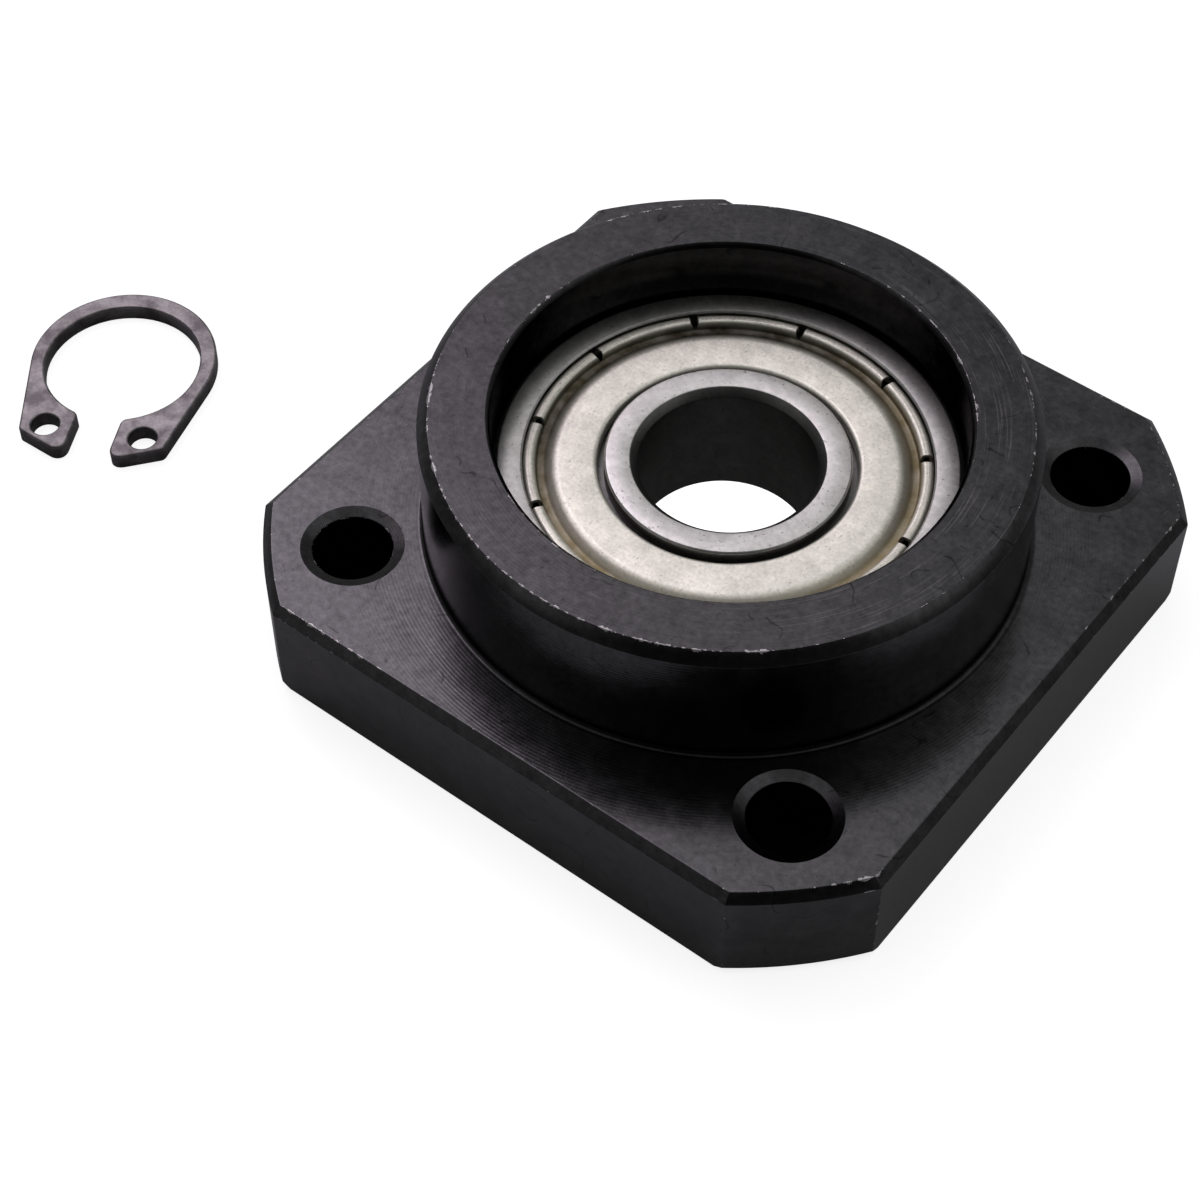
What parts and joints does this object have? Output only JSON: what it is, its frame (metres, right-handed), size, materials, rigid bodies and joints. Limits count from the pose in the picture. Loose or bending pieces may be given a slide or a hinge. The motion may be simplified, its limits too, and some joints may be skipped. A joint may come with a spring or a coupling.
{
  "type": "ball screw end support",
  "caption": "Square flanged housing whose round pilot boss holds a shielded ball bearing for the free end of a ball screw, with the retaining ring lying beside it.",
  "frame": {"origin": "where the bore axis meets the mounting face, which is the flange's face on the boss side", "axes": "+Z along the bore axis, out of the pilot boss; X and Y square to the flange's milled flats"},
  "size_m": [0.0665, 0.042, 0.015],
  "materials": {
    "black_oxide_steel": "turned and milled steel, black oxide",
    "bearing_steel": "ground hardened steel",
    "shield_sheet": "pressed sheet steel, satin",
    "ball_steel": "lapped, polished",
    "cage_sheet": "pressed sheet steel",
    "rivet_steel": "headed wire",
    "spring_steel": "phosphated spring steel"
  },
  "bodies": {
    "support": {"housing": "black_oxide_steel", "bearing_outer_ring": "bearing_steel", "shield_upper": "shield_sheet", "shield_lower": "shield_sheet", "retaining_ring": "spring_steel"},
    "inner_ring": {"bearing_inner_ring": "bearing_steel"},
    "cage": {"cage_upper": "cage_sheet", "cage_lower": "cage_sheet", "cage_rivets": "rivet_steel"},
    "ball_1": {"ball_1": "ball_steel"},
    "ball_2": {"ball_2": "ball_steel"},
    "ball_3": {"ball_3": "ball_steel"},
    "ball_4": {"ball_4": "ball_steel"},
    "ball_5": {"ball_5": "ball_steel"},
    "ball_6": {"ball_6": "ball_steel"},
    "ball_7": {"ball_7": "ball_steel"}
  },
  "joints": [
    {"name": "inner_ring_spin", "type": "hinge", "parent": "support", "child": "inner_ring", "pos_m": [0, 0, 0.0003], "axis": [0, 0, 1], "continuous": true},
    {"name": "cage_spin", "type": "hinge", "parent": "support", "child": "cage", "pos_m": [0, 0, 0.0003], "axis": [0, 0, 1], "continuous": true},
    {"name": "ball_1_spin", "type": "hinge", "parent": "cage", "child": "ball_1", "pos_m": [0.009, 0, 0.0003], "axis": [0, 0, 1], "continuous": true},
    {"name": "ball_2_spin", "type": "hinge", "parent": "cage", "child": "ball_2", "pos_m": [0.00561, 0.00704, 0.0003], "axis": [0, 0, 1], "continuous": true},
    {"name": "ball_3_spin", "type": "hinge", "parent": "cage", "child": "ball_3", "pos_m": [-0.002, 0.00877, 0.0003], "axis": [0, 0, 1], "continuous": true},
    {"name": "ball_4_spin", "type": "hinge", "parent": "cage", "child": "ball_4", "pos_m": [-0.00811, 0.0039, 0.0003], "axis": [0, 0, 1], "continuous": true},
    {"name": "ball_5_spin", "type": "hinge", "parent": "cage", "child": "ball_5", "pos_m": [-0.00811, -0.0039, 0.0003], "axis": [0, 0, 1], "continuous": true},
    {"name": "ball_6_spin", "type": "hinge", "parent": "cage", "child": "ball_6", "pos_m": [-0.002, -0.00877, 0.0003], "axis": [0, 0, 1], "continuous": true},
    {"name": "ball_7_spin", "type": "hinge", "parent": "cage", "child": "ball_7", "pos_m": [0.00561, -0.00704, 0.0003], "axis": [0, 0, 1], "continuous": true}
  ],
  "couplings": [
    {"joint": "cage_spin", "follows": "inner_ring_spin", "ratio": 0.36772},
    {"joint": "ball_1_spin", "follows": "inner_ring_spin", "ratio": -1.7577},
    {"joint": "ball_2_spin", "follows": "inner_ring_spin", "ratio": -1.7577},
    {"joint": "ball_3_spin", "follows": "inner_ring_spin", "ratio": -1.7577},
    {"joint": "ball_4_spin", "follows": "inner_ring_spin", "ratio": -1.7577},
    {"joint": "ball_5_spin", "follows": "inner_ring_spin", "ratio": -1.7577},
    {"joint": "ball_6_spin", "follows": "inner_ring_spin", "ratio": -1.7577},
    {"joint": "ball_7_spin", "follows": "inner_ring_spin", "ratio": -1.7577}
  ]
}
